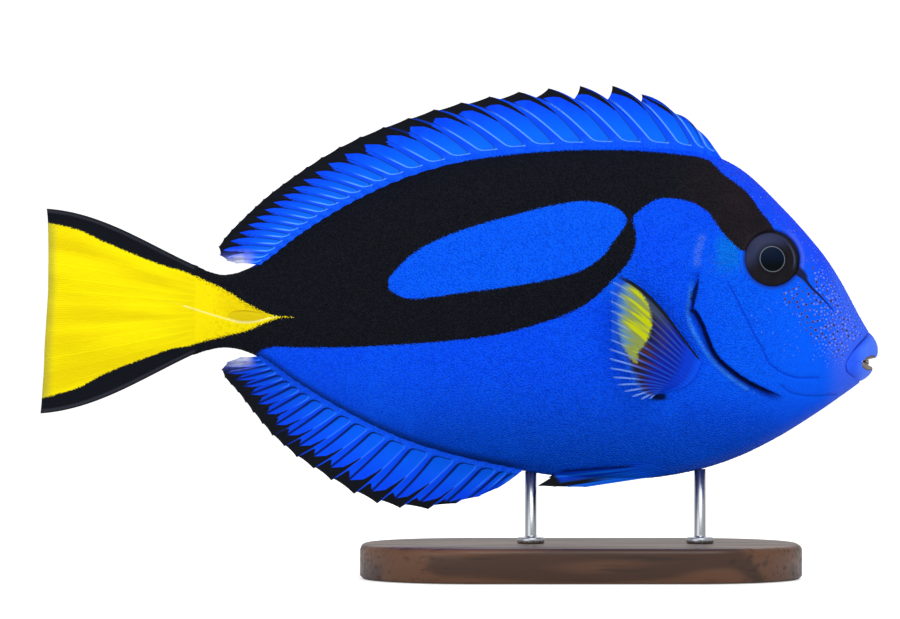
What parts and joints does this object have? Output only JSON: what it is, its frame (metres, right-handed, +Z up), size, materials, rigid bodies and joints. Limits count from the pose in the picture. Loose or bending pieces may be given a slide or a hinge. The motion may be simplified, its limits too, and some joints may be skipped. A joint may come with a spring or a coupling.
{
  "type": "regal blue tang fish model",
  "caption": "Still, life-size model of a regal blue tang, fins spread, held level over a flat wooden base by two short steel rods.",
  "frame": {"origin": "on the floor, in the middle of the overall box", "axes": "+X towards the snout, +Y towards the fish's left side, +Z up"},
  "size_m": [0.2205, 0.066, 0.1295],
  "materials": {
    "skin": "moist scaly skin, vivid blue with a black palette-shaped band",
    "fin_blue": "thin blue fin membrane with black margin and rays",
    "fin_yellow": "thin yellow fin membrane with black upper and lower edges",
    "fin_pectoral": "thin translucent membrane, yellow patch, blue fleshy base",
    "eye": "wet dark eye with a thin bright ring round the pupil",
    "teeth": "small blunt ivory teeth",
    "spine": "smooth horny blade",
    "stand_wood": "satin dark walnut",
    "stand_steel": "brushed stainless steel"
  },
  "bodies": {
    "root": {"head": "skin", "torso": "skin", "tail_stalk": "skin", "gill_cover_left": "skin", "gill_cover_right": "skin", "lip_upper": "skin", "lip_lower": "skin", "teeth_upper": "teeth", "teeth_lower": "teeth", "eye_left": "eye", "eye_right": "eye", "caudal_spine_left": "spine", "caudal_spine_right": "spine", "dorsal_fin": "fin_blue", "anal_fin": "fin_blue", "tail_fin": "fin_yellow", "pectoral_fin_left": "fin_pectoral", "pectoral_fin_right": "fin_pectoral", "pelvic_fin_left": "fin_blue", "pelvic_fin_right": "fin_blue", "stand_base": "stand_wood", "stand_rod_front": "stand_steel", "stand_rod_rear": "stand_steel"}
  },
  "joints": []
}
